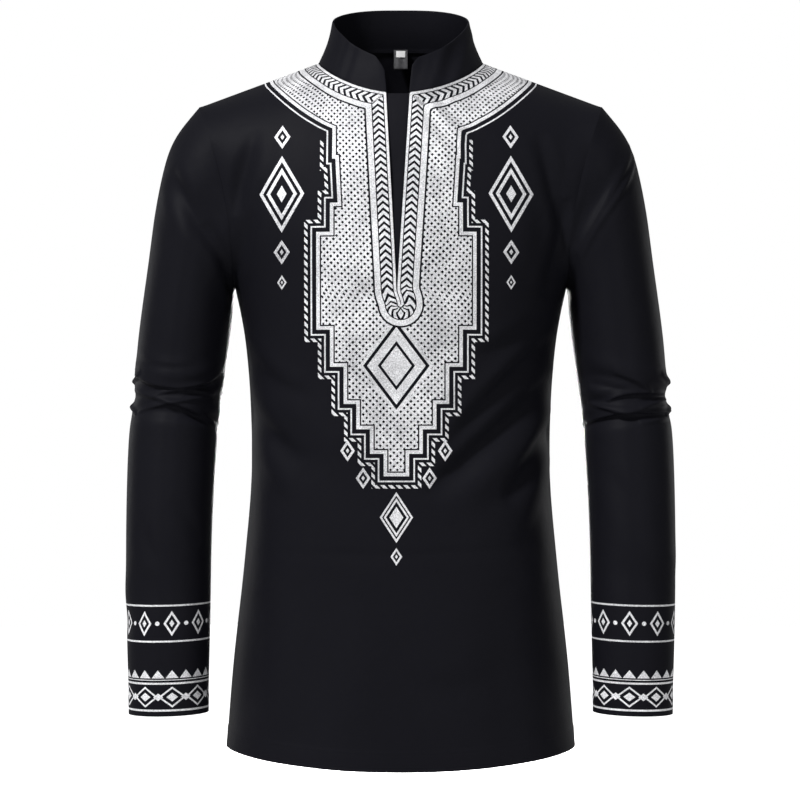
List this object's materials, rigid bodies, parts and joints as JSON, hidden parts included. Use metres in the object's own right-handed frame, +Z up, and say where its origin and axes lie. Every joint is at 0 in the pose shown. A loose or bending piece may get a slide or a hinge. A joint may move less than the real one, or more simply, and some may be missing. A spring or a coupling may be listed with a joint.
{
  "type": "long-sleeve shirt",
  "caption": "Long pullover shirt with long sleeves, a stand collar and an open neck slit, worn and hollow, with a printed panel on the chest.",
  "frame": {"origin": "midway between the two points where the shoulder seams meet the collar, where the wearer's shoulders carry the shirt", "axes": "+Z up, the front faces -Y, the wearer's left is +X"},
  "size_m": [0.5848, 0.2574, 0.8064],
  "materials": {
    "black_cloth": "matt",
    "label_cloth": "satin",
    "tab_cloth": "matt"
  },
  "bodies": {
    "root": {"front": "black_cloth", "back": "black_cloth", "sleeve_left": "black_cloth", "sleeve_right": "black_cloth", "collar": "black_cloth", "slit_guard": "black_cloth", "neck_label": "label_cloth", "size_tab": "tab_cloth"}
  },
  "joints": []
}
